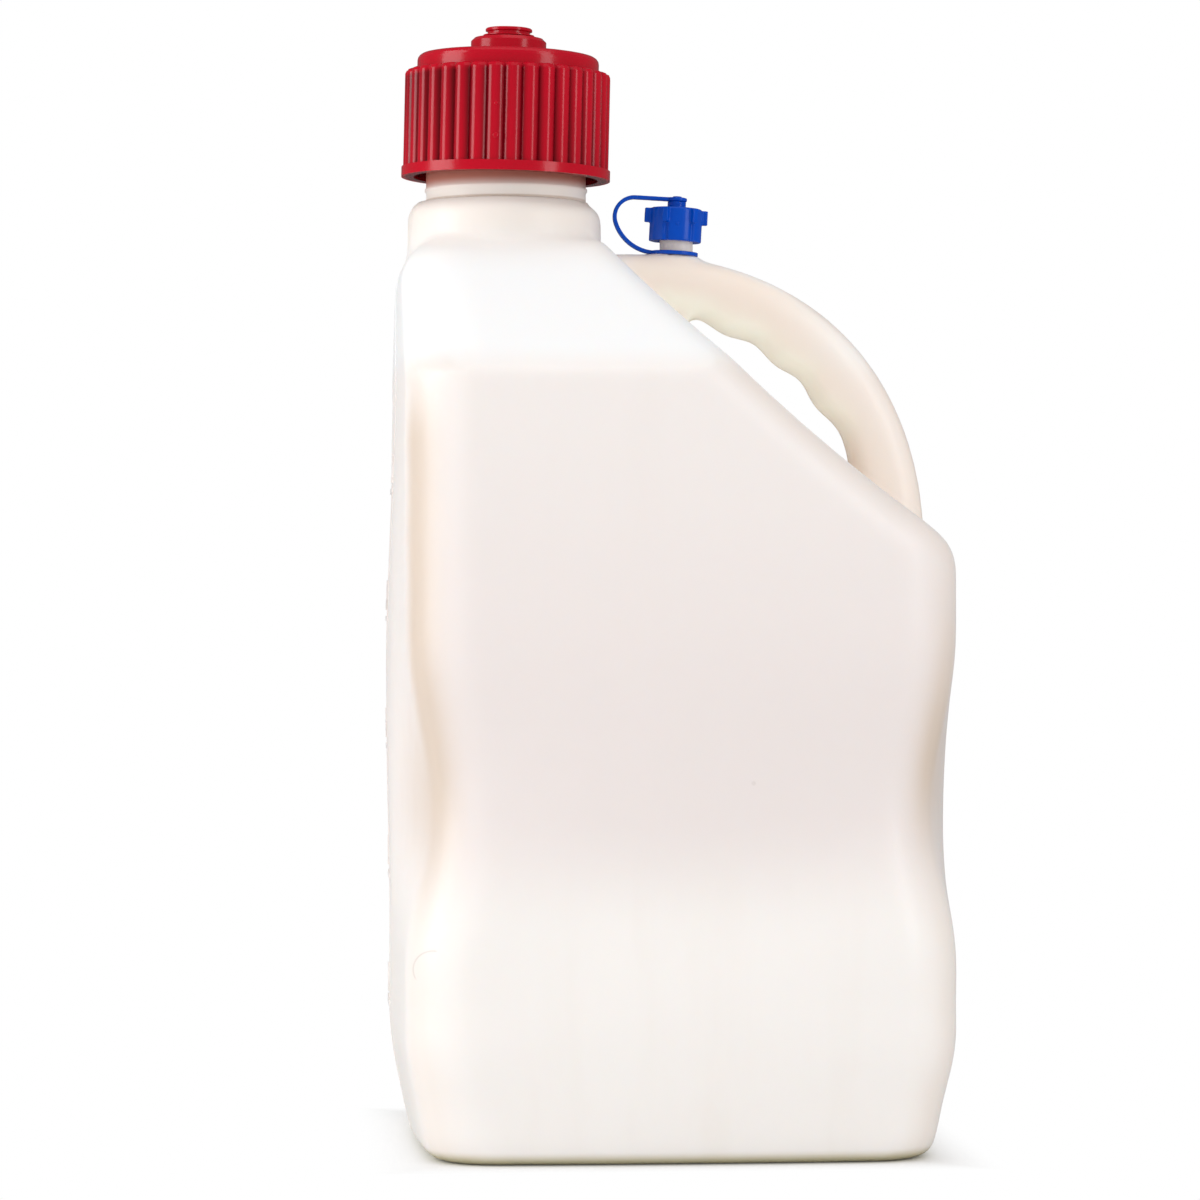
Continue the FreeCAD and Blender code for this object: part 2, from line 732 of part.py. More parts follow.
def cap_profile():
    """Half section of the cap without its lobes, from the axis round and back to it."""
    rim = cap_grip + sizes.rim_width
    crown = cap_root - sizes.ledge_width
    boss = sizes.boss_diameter / 2
    stub = sizes.stub_diameter / 2
    lip = sizes.stub_lip / 2
    ridge = sizes.ridge_diameter / 2
    lip_foot = sizes.stub_height - sizes.stub_lip_height
    half_ridge = sizes.ridge_width / 2
    return [
        (0, 0),
        (rim, 0),
        (rim, sizes.rim_height),
        (cap_root, sizes.rim_height),
        (cap_root, sizes.ledge_height),
        (crown, sizes.ledge_height),
        *stepped_round(crown, sizes.crown_height, sizes.crown_round, ROUND_STEPS),
        (boss, sizes.crown_height),
        (boss, sizes.boss_height - sizes.boss_bevel),
        (boss - sizes.boss_bevel, sizes.boss_height),
        (stub, sizes.boss_height),
        (stub, sizes.ridge_height - half_ridge),
        (ridge, sizes.ridge_height - half_ridge / 3),
        (ridge, sizes.ridge_height + half_ridge / 3),
        (stub, sizes.ridge_height + half_ridge),
        (stub, lip_foot),
        (lip, lip_foot + sizes.stub_lip_height / 4),
        (lip, sizes.stub_height - sizes.stub_lip_height / 4),
        (lip - sizes.stub_lip_height / 4, sizes.stub_height),
        (0, sizes.stub_height),
    ]


def build_cap():
    """The skirt's grip is one round-topped lobe, turned about its own axis and repeated."""
    body = new_body("cap")
    blank = new_sketch(body, "CapProfile", "XZ_Plane")
    draw_outline(blank, cap_profile())
    revolve(body, "CapBlank", blank)
    at = (cap_grip - sizes.lobe_radius, 0, 0)
    lobe = new_sketch(body, "LobeProfile", "XZ_Plane", at)
    draw_outline(lobe, [
        (0, sizes.rim_height / 2),
        (sizes.lobe_radius, sizes.rim_height / 2),
        *stepped_round(sizes.lobe_radius, sizes.lobe_top, sizes.lobe_round, LOBE_STEPS),
        (0, sizes.lobe_top),
    ])
    polar(body, "Lobes", [revolve(body, "Lobe", lobe)], LOBES)
    bore = new_sketch(body, "CapBoreCircle", "XY_Plane")
    draw_circle(bore, cap_bore)
    pocket_up(body, "CapBore", bore, sizes.cap_bore_depth)
    lean_body(body, neck_x, sizes.body_height, sizes.neck_lean, sizes.cap_gap)
    return body


# ---------------------------------------------------------------- the vent cap and its tether


def build_vent_cap():
    body = new_body("vent_cap")
    skirt = sizes.vent_cap_diameter / 2
    knob = sizes.knob_diameter / 2
    pin = sizes.pin_diameter / 2
    knob_top = sizes.vent_cap_height + sizes.knob_height
    pin_top = knob_top + sizes.strap_thickness + sizes.pin_head
    blank = new_sketch(body, "VentCapProfile", "XZ_Plane")
    draw_outline(blank, [
        (0, 0),
        (skirt, 0),
        (skirt, sizes.vent_cap_height - sizes.vent_cap_bevel),
        (skirt - sizes.vent_cap_bevel, sizes.vent_cap_height),
        (knob, sizes.vent_cap_height),
        (knob, knob_top),
        (pin, knob_top),
        (pin, pin_top),
        (0, pin_top),
    ])
    revolve(body, "VentCapBlank", blank)
    at = (0, 0, sizes.lug_start)
    lug = new_sketch(body, "LugOutline", "XY_Plane", at, sizes.lug_turn)
    root = skirt - sizes.lug_width / 2
    draw_outline(lug, [
        (root, -sizes.lug_width / 2),
        (sizes.lug_reach / 2, -sizes.lug_width / 2),
        (sizes.lug_reach / 2, sizes.lug_width / 2),
        (root, sizes.lug_width / 2),
    ])
    polar(body, "Lugs", [pad(body, "Lug", lug, sizes.lug_height)], LUGS)
    flute = new_sketch(body, "FluteCircle", "XY_Plane", (0, 0, 0), sizes.lug_turn)
    draw_circle(flute, sizes.flute_radius, skirt + sizes.flute_radius - sizes.flute_depth)
    polar(body, "Flutes", [pocket_up(body, "Flute", flute, sizes.lug_start)], LUGS)
    bore = new_sketch(body, "VentBoreCircle", "XY_Plane")
    draw_circle(bore, sizes.spout_diameter / 2 + sizes.vent_clearance)
    pocket_up(body, "VentBore", bore, sizes.vent_bore_depth)
    lean_body(body, vent_x, vent_z, sizes.vent_lean, sizes.vent_cap_gap)
    return body


def build_strap():
    """Ring round the spout, eye round the pin, and the flat strap bent from one to the other."""
    body = new_body("vent_strap")
    half = sizes.strap_thickness / 2
    ring_foot = sizes.vent_foot_rise + sizes.ring_gap
    eye_foot = sizes.vent_cap_gap + sizes.vent_cap_height + sizes.knob_height
    ring_bore = sizes.spout_diameter / 2 + sizes.strap_clearance
    eye_bore = sizes.pin_diameter / 2 + sizes.strap_clearance
    low, high = ring_foot + half, eye_foot + half
    ring_end = -ring_bore - sizes.ring_width / 4
    eye_end = -eye_bore - sizes.eye_width / 2
    reach = vent_x - neck_x - neck_radius - sizes.collar_width - sizes.strap_gap
    bend_x, bend_z = sizes.strap_bend - reach, high - sizes.strap_bend
    apart = sizes.strap_sweep - sizes.strap_bend
    rise = low + sizes.strap_sweep - bend_z
    run = root(apart * apart - rise * rise)
    sweep_x = bend_x + run

    def meeting(radius):
        """Where the two bends meet, on the circle of that radius about the upper one."""
        return bend_x - run * radius / apart, bend_z - rise * radius / apart

    band = new_sketch(body, "StrapOutline", "XZ_Plane")
    draw_outline(band, [
        (eye_end, high + half),
        (bend_x, high + half),
        (*meeting(sizes.strap_bend + half), sizes.strap_bend + half),
        (sweep_x, low - half, sizes.strap_sweep + half),
        (ring_end, low - half),
        (ring_end, low + half),
        (sweep_x, low + half),
        (*meeting(sizes.strap_bend - half), half - sizes.strap_sweep),
        (bend_x, high - half, half - sizes.strap_bend),
        (eye_end, high - half),
    ])
    pad(body, "Strap", band, sizes.strap_width, both_ways=True)
    for name, foot, bore, width in (
        ("Ring", ring_foot, ring_bore, sizes.ring_width),
        ("Eye", eye_foot, eye_bore, sizes.eye_width),
    ):
        sketch = new_sketch(body, name + "Circles", "XY_Plane", (0, 0, foot))
        draw_circle(sketch, bore)
        draw_circle(sketch, bore + width)
        pad(body, name, sketch, sizes.strap_thickness)
    lean_body(body, vent_x, vent_z, sizes.vent_lean, Size(0))
    return body


# ---------------------------------------------------------------- build, check and write


def check_document(bodies):
    """Stop at any object that failed and any sub-part that isn't one valid solid."""
    for item in doc.Objects:
        if "Invalid" in item.State or "Error" in item.State:
            raise RuntimeError(item.Name + " failed: " + ", ".join(item.State))
    for body in bodies:
        shape = body.Shape
        if shape.isNull() or not shape.isValid() or len(shape.Solids) != 1:
            raise RuntimeError(body.Label + " is not one valid solid")


parts = [build_jug(), build_cap(), build_vent_cap(), build_strap()]
doc.recompute()
check_document(parts)
os.makedirs("parts", exist_ok=True)
for part in parts:
    part.Shape.exportStep(os.path.join("parts", part.Label + ".step"))
    box = part.Shape.BoundBox
    corners = (box.XMin, box.YMin, box.ZMin, box.XMax, box.YMax, box.ZMax)
    print(part.Label, "%.0f mm3" % part.Shape.Volume, *["%.1f" % value for value in corners])
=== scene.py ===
# %% [markdown]
# # A utility jug, dressed for the studio
#
# The jug is one hollow moulding of milky plastic with its handle blown in, a ribbed red screw
# cap and a small blue vent cap on a tether. The solid shapes arrive ready made. This notebook
# gives every surface its finish, adds the fine moulded details, lights the jug and aims the
# camera at it.

# %% Load the fixed frame
import math
import bmesh
import bpy
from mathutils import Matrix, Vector
from mathutils.bvhtree import BVHTree


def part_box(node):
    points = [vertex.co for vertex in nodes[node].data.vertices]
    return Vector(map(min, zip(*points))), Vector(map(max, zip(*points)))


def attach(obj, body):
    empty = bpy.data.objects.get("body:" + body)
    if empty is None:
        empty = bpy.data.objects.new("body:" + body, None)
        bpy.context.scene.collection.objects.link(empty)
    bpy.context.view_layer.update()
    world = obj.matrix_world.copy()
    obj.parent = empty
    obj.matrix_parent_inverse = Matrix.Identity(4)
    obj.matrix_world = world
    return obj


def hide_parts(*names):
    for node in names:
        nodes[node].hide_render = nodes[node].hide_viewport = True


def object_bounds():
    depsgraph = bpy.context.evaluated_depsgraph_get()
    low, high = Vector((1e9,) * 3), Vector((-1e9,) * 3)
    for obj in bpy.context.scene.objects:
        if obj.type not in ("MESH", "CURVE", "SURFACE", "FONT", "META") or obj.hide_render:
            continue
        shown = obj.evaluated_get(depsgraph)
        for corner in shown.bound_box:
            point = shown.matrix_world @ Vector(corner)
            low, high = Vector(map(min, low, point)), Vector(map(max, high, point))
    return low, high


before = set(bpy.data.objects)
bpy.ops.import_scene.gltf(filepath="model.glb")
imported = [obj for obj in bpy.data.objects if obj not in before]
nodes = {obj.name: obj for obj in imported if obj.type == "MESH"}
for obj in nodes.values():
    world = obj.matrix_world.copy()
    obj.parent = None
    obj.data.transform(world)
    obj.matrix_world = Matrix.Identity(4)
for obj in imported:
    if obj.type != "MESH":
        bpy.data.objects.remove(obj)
cad_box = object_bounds()
low, high = (Vector(corner) for corner in cad_box)
print("the jug stands", round((high - low).z * 1000, 1), "mm tall")

# %% [markdown]
# ## Materials written as sums
#
# A procedural finish is a small calculation: noise here, a mask there, a mix of two colours.
# Wiring that by hand hides the sum. A thin wrapper round a socket lets Python's own
# operators add the Math nodes, so a mask reads like the formula that it is.

# %% A socket that can be added and multiplied


class Field:
    """A value that changes over a surface, as the output socket of a node."""

    def __init__(self, owner, socket):
        self.owner = owner
        self.socket = socket

    def math(self, operation, *others):
        inputs = dict(enumerate((self, *others)))
        return self.owner.node("ShaderNodeMath", {"operation": operation}, inputs)

    def __add__(self, other):
        return self.math("ADD", other)

    def __sub__(self, other):
        return self.math("SUBTRACT", other)

    def __mul__(self, other):
        return self.math("MULTIPLY", other)

    def __rsub__(self, other):
        return self.owner.node("ShaderNodeMath", {"operation": "SUBTRACT"}, {0: other, 1: self})

    __radd__ = __add__
    __rmul__ = __mul__

    def __abs__(self):
        return self.math("ABSOLUTE")

    def rises(self, start, end):
        """0 below start, 1 above end, with a smooth ramp between."""
        settings = {"interpolation_type": "SMOOTHSTEP"}
        return self.owner.node("ShaderNodeMapRange", settings, {0: self, 1: start, 2: end})


print("a field can stand on the right of", [name for name in vars(Field) if name.startswith("__r")])

# %% [markdown]
# ## One way to add a node
#
# The plastics, the table and the room light all need node trees. Each could be wired with its
# own lines, but then every tree is read differently. Here one method adds any node, from its
# type, its settings and what goes into its sockets.

# %% A node tree, filled through one method


class Nodes:
    """A node tree of a material or of the world."""

    def __init__(self, tree):
        self.tree = tree

    def node(self, kind, settings=None, inputs=None, output=0):
        """Add a node: its settings first, then its sockets. Give back one of its outputs."""
        made = self.tree.nodes.new(kind)
        for key, value in (settings or {}).items():
            setattr(made, key, value)
        for key, value in (inputs or {}).items():
            self.feed(made.inputs[key], value)
        return made if output is None else Field(self, made.outputs[output])

    def feed(self, socket, value):
        """Link a field to a socket, or set the socket to a colour or a number."""
        if isinstance(value, Field):
            self.tree.links.new(value.socket, socket)
        elif socket.type == "RGBA":
            socket.default_value = (*value, 1)
        else:
            socket.default_value = value

    def rays(self):
        """1 where the camera looks straight at this, and 1 where a glossy surface mirrors it."""
        light = self.node("ShaderNodeLightPath", output=None)
        return [Field(self, light.outputs[name]) for name in ("Is Camera Ray", "Is Glossy Ray")]


print("a node tree can", [name for name in vars(Nodes) if not name.startswith("_")])

# %% [markdown]
# ## A finish
#
# Each plastic is one Principled shader with a few fields in front of it. The fields need two
# things from the surface: where it is on the jug, and which way it faces. From these come
# noise, distances and the bump of a moulded skin. A painted and unwrapped skin could do the
# same, but it would stretch over the handle, and a field never does.

# %% One material and the fields that drive it


class Finish(Nodes):
    """One material: its Principled shader, and the fields that drive it."""

    def __init__(self, name):
        self.material = bpy.data.materials.new(name)
        self.material.use_nodes = True
        super().__init__(self.material.node_tree)
        self.shader = self.tree.nodes["Principled BSDF"]
        self.place = self.node("ShaderNodeTexCoord", output="Object")
        self.x, self.y, self.z = self.parts(self.place)

    def parts(self, vector):
        split = self.node("ShaderNodeSeparateXYZ", inputs={0: vector}, output=None)
        return [Field(self, socket) for socket in split.outputs]

    def facing(self):
        """The three parts of the direction that the surface faces."""
        return self.parts(self.node("ShaderNodeNewGeometry", output="Normal"))

    def distance(self, fields, point):
        """How far the surface lies from a point, looking along the axis that is left out."""
        flat = self.node("ShaderNodeCombineXYZ", inputs=dict(enumerate(fields)))
        inputs = {0: flat, 1: (*point, 0)}
        return self.node("ShaderNodeVectorMath", {"operation": "DISTANCE"}, inputs, output="Value")

    def noise(self, scale, detail, stretch=(1, 1, 1)):
        """Soft noise. Scale is lumps to the metre, and a stretch below 1 draws them out."""
        place = self.node("ShaderNodeVectorMath", {"operation": "MULTIPLY"}, {0: self.place, 1: stretch})
        inputs = {"Vector": place, "Scale": scale, "Detail": detail}
        return self.node("ShaderNodeTexNoise", inputs=inputs)

    def mix(self, mask, first, second):
        """The first colour where the mask is 0 and the second where it is 1."""
        settings = {"data_type": "RGBA"}
        return self.node("ShaderNodeMix", settings, {0: mask, 6: first, 7: second}, output=2)

    def bump(self, height, strength, distance):
        inputs = {"Height": height, "Strength": strength, "Distance": distance}
        return self.node("ShaderNodeBump", inputs=inputs)

    def set(self, sockets):
        """Set or link the shader's own sockets, by name."""
        for name, value in sockets.items():
            self.feed(self.shader.inputs[name], value)


def shown(red, green, blue):
    """A colour given as it shows on a screen, 0 to 255, as amounts of light."""
    parts = (value / 255 for value in (red, green, blue))
    return tuple(part / 12.92 if part <= 0.04045 else ((part + 0.055) / 1.055) ** 2.4 for part in parts)


print("a screen's middle grey is", round(shown(128, 128, 128)[0], 3), "of full light")

# %% [markdown]
# ## The soft edges of a blown moulding
#
# Air pushes the hot plastic against a cold mould, and it never quite reaches into a corner.
# So every crease of a blown jug is soft: where the shoulder turns in, where the handle
# grows out of the body, round the collar. Bevels are hard to place on such long meeting
# curves. Remeshing a copy of the solid into small even squares and then relaxing it gives
# the same softness everywhere at once. The vent cap and its tether are small mouldings with
# every edge worn round, so they are made in the same way with a finer grain.

# %% Helpers for pieces


def apply_modifier(piece, kind, **settings):
    modifier = piece.modifiers.new(kind.title(), kind)
    for key, value in settings.items():
        setattr(modifier, key, value)
    with bpy.context.temp_override(object=piece, active_object=piece, selected_objects=[piece]):
        bpy.ops.object.modifier_apply(modifier=modifier.name)


def add_piece(name, mesh):
    piece = bpy.data.objects.new(name, mesh)
    bpy.context.scene.collection.objects.link(piece)
    mesh.materials.clear()
    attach(piece, "root")
    return piece


print(len(nodes), "solids wait to be dressed:", sorted(nodes))

# %% The jug, the vent cap and the tether, remeshed and relaxed

JUG_GRAIN = 0.0025
JUG_RELAX = 11
VENT_GRAIN = 0.00035
VENT_RELAX = 5
WELD = 1e-6


def softened(name, node_name, grain, steps):
    """A copy of a solid with every edge softened, shown in its place."""
    mesh = nodes[node_name].data.copy()
    welded = bmesh.new()
    welded.from_mesh(mesh)
    bmesh.ops.remove_doubles(welded, verts=welded.verts, dist=WELD)
    welded.to_mesh(mesh)
    welded.free()
    piece = add_piece(name, mesh)
    apply_modifier(piece, "REMESH", mode="VOXEL", voxel_size=grain, use_smooth_shade=True)
    apply_modifier(piece, "SMOOTH", factor=0.5, iterations=steps)
    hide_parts(node_name)
    print(name, "has", len(piece.data.polygons), "faces of about", grain * 1000, "mm")
    return piece


jug = softened("blown_jug", "jug_body", JUG_GRAIN, JUG_RELAX)
vent = softened("blue_vent_cap", "vent_cap", VENT_GRAIN, VENT_RELAX)
tether = softened("blue_tether", "vent_strap", VENT_GRAIN, VENT_RELAX)

# %% [markdown]
# ## The neck and the vent spout
#
# A neck is the one part of a blown jug that is moulded hard against steel: the thread has to
# hold a cap. It stays crisp, with a clear line where it leaves the soft collar. So the
# relaxed jug is cut down to the collar, and a neck and a spout stand on it. They are round,
# so each is a short profile swept round its own axis, as on a lathe.

# %% Where the necks stand

NECK_RADIUS = 0.039
COLLAR_TOP = 0.4569
NECK_END = 0.500
NECK_REACH = 0.050
NECK_BEAD = ((0.0390, 0.4615), (0.0397, 0.4622), (0.0397, 0.4632), (0.0390, 0.4640))
SPOUT_RADIUS = 0.0081
SPOUT_FOOT = 0.4312
SPOUT_END = 0.4515
SPOUT_REACH = 0.0105


def middle_of(node_name):
    """The upright axis through the middle of a solid."""
    lowest, highest = (Vector(corner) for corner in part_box(node_name))
    return ((lowest + highest) / 2).xy


neck_axis = middle_of("cap")
vent_axis = middle_of("vent_cap")
print("the two axes are", round((vent_axis - neck_axis).length * 1000, 1), "mm apart")

# %% Cut the soft jug down and stand crisp tubes on it

FACETS = 96
SUNK = 0.0006
SOFT_RISE = 0.0012
LIP = 0.0006
LIP_BEND = LIP * 0.3


def cut_down(piece, axis, reach, radius, level):
    """Cut a piece down to a level near an upright axis, so that a crisp tube can stand there."""
    for vertex in piece.data.vertices:
        arm = vertex.co.xy - axis
        if arm.length > reach or vertex.co.z < level:
            continue
        if vertex.co.z > level + SOFT_RISE:
            vertex.co.xy = axis + arm * min(1, (radius - SUNK) / max(arm.length, SUNK))
        vertex.co.z = level - SUNK if arm.length < radius + SUNK else level


def turned(name, profile, axis):
    """A piece as if turned on a lathe: (radius, height) points swept round an upright axis."""
    mesh = bpy.data.meshes.new(name)
    shape = bmesh.new()
    rings = []
    for radius, height in profile:
        ring = []
        for step in range(FACETS):
            angle = step * math.tau / FACETS
            place = (axis.x + radius * math.cos(angle), axis.y + radius * math.sin(angle), height)
            ring.append(shape.verts.new(place))
        rings.append(ring)
    for lower, upper in zip(rings, rings[1:]):
        for step in range(FACETS):
            after = (step + 1) % FACETS
            face = shape.faces.new((lower[step], lower[after], upper[after], upper[step]))
            face.smooth = True
    shape.to_mesh(mesh)
    shape.free()
    return add_piece(name, mesh)


def add_spout(name, axis, radius, foot, end, reach, bead=()):
    """A plain tube with a rounded lip, standing where the soft jug is cut down."""
    cut_down(jug, axis, reach, radius, foot)
    profile = [
        (radius, foot - SUNK * 2),
        *bead,
        (radius, end - LIP),
        (radius - LIP_BEND, end - LIP_BEND),
        (radius - LIP, end),
    ]
    print(name, "stands at", [round(value * 1000, 1) for value in axis], "mm")
    return turned(name, profile, axis)


neck = add_spout("neck", neck_axis, NECK_RADIUS, COLLAR_TOP, NECK_END, NECK_REACH, NECK_BEAD)
spout = add_spout("vent_spout", vent_axis, SPOUT_RADIUS, SPOUT_FOOT, SPOUT_END, SPOUT_REACH)

# %% [markdown]
# ## The parting line
#
# A blow mould closes in two halves on the plane of the handle. Where they meet they leave a
# low bead all the way round. It could be drawn by hand as a curve, but it has to follow every
# bend of the jug, so the section of the jug in that plane is its path.

# %% The section of the jug in the plane of the handle


def cut_path(piece):
    """The edges where a piece crosses the plane of the handle."""
    cut = bmesh.new()
    cut.from_mesh(piece.data)
    everything = cut.verts[:] + cut.edges[:] + cut.faces[:]
    found = bmesh.ops.bisect_plane(cut, geom=everything, plane_co=(0, 0, 0), plane_no=(0, 1, 0))
    keep = {item for item in found["geom_cut"] if isinstance(item, bmesh.types.BMEdge)}
    bmesh.ops.delete(cut, geom=[edge for edge in cut.edges if edge not in keep], context="EDGES")
    loose = [vertex for vertex in cut.verts if not vertex.link_edges]
    bmesh.ops.delete(cut, geom=loose, context="VERTS")
    path = bpy.data.meshes.new("parting_path")
    cut.to_mesh(path)
    cut.free()
    print("the section has", len(path.edges), "edges")
    return path


# %% A thin bead along the section

BEAD = 0.00035


def add_parting_line():
    path = bpy.data.objects.new("parting_line", cut_path(jug))
    bpy.context.scene.collection.objects.link(path)
    chosen = {"object": path, "active_object": path, "selected_objects": [path]}
    with bpy.context.temp_override(**chosen, selected_editable_objects=[path]):
        bpy.ops.object.convert(target="CURVE")
        path.data.bevel_depth = BEAD
        path.data.bevel_resolution = 1
        bpy.ops.object.convert(target="MESH")
    for vertex in path.data.vertices:
        vertex.co.x = min(max(vertex.co.x, low.x), high.x)
        vertex.co.z = max(vertex.co.z, low.z)
    bead = add_piece("parting_bead", path.data)
    bpy.data.objects.remove(path)
    bead.data.polygons.foreach_set("use_smooth", [True] * len(bead.data.polygons))
    print("the parting line has", len(bead.data.polygons), "faces")
    return bead


parting_line = add_parting_line()

# %% [markdown]
# ## Level marks
#
# The narrow side carries five raised ticks, each with its number, one for each unit of
# volume. They are cut into the mould, so they stand a little proud of the wall and follow
# its curve. A bump in the material would look flat from the side, so they are real meshes:
# every corner of a mark is dropped onto the wall along a straight line.

# %% Measure the wall and lay a mark on it

OUTSIDE = 0.1


def surface(piece):
    """The surface of a piece, ready for straight lines to be dropped onto it."""
    corners = [vertex.co for vertex in piece.data.vertices]
    return BVHTree.FromPolygons(corners, [tuple(face.vertices) for face in piece.data.polygons])


wall = surface(jug)


def wall_x(y, z):
    """Where the narrow side stands at a depth and a height."""
    place, *_ = wall.ray_cast(Vector((low.x - OUTSIDE, y, z)), Vector((1, 0, 0)))
    return place.x


def drape(mesh, centre_y, foot_z):
    """Lay a flat mark on the narrow side, to be read from outside."""
    for vertex in mesh.vertices:
        across, up, out = vertex.co
        y, z = centre_y - across, foot_z + up
        vertex.co = (max(wall_x(y, z) - out, low.x), y, z)


print("the narrow side is at", round(wall_x(0, high.z / 2) * 1000, 1), "mm half way up")

# %% Ticks and numbers, still flat

MARK_LENGTH = 0.046
MARK_WIDTH = 0.0024
MARK_RISE = 0.0007
BENDS = 24
DIGIT_SIZE = 0.020
DIGIT_BOLD = 0.0003


def tick_mesh(name):
    """A bar in fine strips along its length, so that it can bend with the wall."""
    shape = bmesh.new()
    bmesh.ops.create_cube(shape, size=1)
    along = [edge for edge in shape.edges if abs(edge.verts[0].co.x - edge.verts[1].co.x) > 0.5]
    bmesh.ops.subdivide_edges(shape, edges=along, cuts=BENDS)
    bmesh.ops.scale(shape, verts=shape.verts, vec=(MARK_LENGTH, MARK_WIDTH, MARK_RISE * 2))
    mesh = bpy.data.meshes.new(name)
    shape.to_mesh(mesh)
    shape.free()
    return mesh


def digit_mesh(name, digit):
    """A raised plain digit, from the built-in lettering."""
    curve = bpy.data.curves.new(name, "FONT")
    curve.body = str(digit)
    curve.align_x = "CENTER"
    curve.size = DIGIT_SIZE
    curve.extrude = MARK_RISE
    curve.offset = DIGIT_BOLD
    holder = bpy.data.objects.new(name + "_outline", curve)
    bpy.context.scene.collection.objects.link(holder)
    bpy.context.view_layer.update()
    mesh = bpy.data.meshes.new_from_object(holder)
    bpy.data.objects.remove(holder)
    return mesh


# %% Five marks up the narrow side

MARKS = 5
FIRST_MARK = 0.0665
MARK_STEP = 0.0625
MARK_Y = 0.020
DIGIT_LIFT = 0.0045

marks = []
for number in range(1, MARKS + 1):
    height = FIRST_MARK + MARK_STEP * (number - 1)
    for name, mesh, lift in (
        (f"level_tick_{number}", tick_mesh(f"tick {number}"), 0),
        (f"level_number_{number}", digit_mesh(f"digit {number}", number), DIGIT_LIFT),
    ):
        drape(mesh, MARK_Y, height + lift)
        marks.append(add_piece(name, mesh))
    print("mark", number, "at", round(height * 1000, 1), "mm")

# %% [markdown]
# ## Gate marks
#
# Where the hot plastic enters an injection mould, breaking off the runner leaves a small
# round pip. The red cap has two on a front rib and the blue cap one on its skirt. Each is a
# flattened ball, turned to face the way that the plastic under it faces, so that it sits
# square on a rib however the rib is turned.

# %% Gate marks

PIP_FLATNESS = 0.45


def add_pip(name, carrier, x, z, radius):
    """A low round pip on the front of a cap."""
    start = Vector((x, low.y - OUTSIDE, z))
    place, normal, *_ = surface(carrier).ray_cast(start, Vector((0, 1, 0)))
    mesh = bpy.data.meshes.new(name)
    shape = bmesh.new()
    bmesh.ops.create_uvsphere(shape, u_segments=20, v_segments=10, radius=radius)
    bmesh.ops.scale(shape, verts=shape.verts, vec=(1, 1, PIP_FLATNESS))
    turn = normal.to_track_quat("Z", "Y").to_matrix().to_4x4()
    turn.translation = place
    bmesh.ops.transform(shape, matrix=turn, verts=shape.verts)
    for face in shape.faces:
        face.smooth = True
    shape.to_mesh(mesh)
    shape.free()
    print(name, "at", [round(value * 1000, 1) for value in place], "mm")
    return add_piece(name, mesh)


red_pips = [
    add_pip("red_gate_mark", nodes["cap"], x=-0.0852, z=0.485, radius=0.0015),
    add_pip("red_rib_mark", nodes["cap"], x=-0.0849, z=0.5005, radius=0.0011),
]
blue_pip = add_pip("blue_gate_mark", vent, x=0.0055, z=0.4465, radius=0.0009)

# %% [markdown]
# ## The milky plastic
#
# Blow-moulded polyethylene has no pigment here: it is a cloudy, waxy white that lets light
# in a little way. Light and shade are painted onto it: a rosy painted shade over the waist,
# where the wall is drawn in and faces a little down, and a clear white painted light on the
# shoulder, which faces up, with the change on the shoulder's crease. Painting such zones on
# would need the jug unwrapped first. Instead each zone is a mask worked out from the height
# and from the way that the wall faces, and its soft edges are given in metres.

# %% Painted light and shade of the wall

# The first colour is painted shade for the waist, the second painted light for the shoulder.
WAIST_SHADE = shown(240, 231, 228)
SHOULDER_LIGHT = shown(248, 248, 248)
SHOULDER_CREASE = (0.367, 0.383)
WAIST_FOOT = (0.105, 0.165)
WAIST_TOP = (0.20, 0.40)
BROAD_SIDE = (0.05, 0.50)


def wall_tint(finish, colour):
    """Painted light on a clear white shoulder, and painted shade on a rosy waist, strongest on the broad
    sides.
    """
    _, ny, _ = finish.facing()
    shoulder = finish.z.rises(*SHOULDER_CREASE)
    # Painted light on the shoulder.
    colour = finish.mix(shoulder, colour, SHOULDER_LIGHT)
    broad = 0.4 + abs(ny).rises(*BROAD_SIDE) * 0.6
    waist = finish.z.rises(*WAIST_FOOT) * (1 - finish.z.rises(*WAIST_TOP) * 0.6) * (1 - shoulder)
    # Painted shade over the waist.
    return finish.mix(waist * broad, colour, WAIST_SHADE)


print("the shoulder's crease takes", round((SHOULDER_CREASE[1] - SHOULDER_CREASE[0]) * 1000), "mm")

# %% [markdown]
# The upright corners get painted shade: warm, darker bands where the wall turns away from
# the light. A corner is where the wall faces neither straight ahead nor straight to the side,
# which the two level parts of its direction tell.

# %% Painted shade of the corners

# Painted shade for the upright corners.
CORNER_SHADE = shown(214, 196, 178)
TURNED_ASIDE = (0.12, 0.30)
CORNER_FACING = 0.54
CORNER_SPREAD = (0.06, 0.45)
JUG_MIDDLE = (-0.02, 0.02)
LEFT_FOOT = (0.10, 0.18)
LEFT_TOP = (0.335, 0.372)
RIGHT_FOOT = (0.13, 0.19)
RIGHT_TOP = (0.19, 0.28)


def corner_tint(finish, colour):
    """Painted shade: warm bands down the upright corners, strongest beside the waist."""
    nx, ny, _ = finish.facing()
    z = finish.z
    half_turned = 1 - abs(abs(ny) - CORNER_FACING).rises(*CORNER_SPREAD)
    turning = abs(nx).rises(*TURNED_ASIDE) * half_turned
    on_right = finish.x.rises(*JUG_MIDDLE)
    left = z.rises(*LEFT_FOOT) * (1 - z.rises(*LEFT_TOP)) * (1 - on_right)
    right = z.rises(*RIGHT_FOOT) * (1 - z.rises(*RIGHT_TOP)) * on_right
    lasting = (1 - z.rises(*SHOULDER_CREASE)) * 0.25
    # Painted shade down the corners.
    return finish.mix(turning * (lasting + (left + right) * 0.6), colour, CORNER_SHADE)


print("the left band runs from", LEFT_FOOT[0], "to", LEFT_TOP[1], "m")
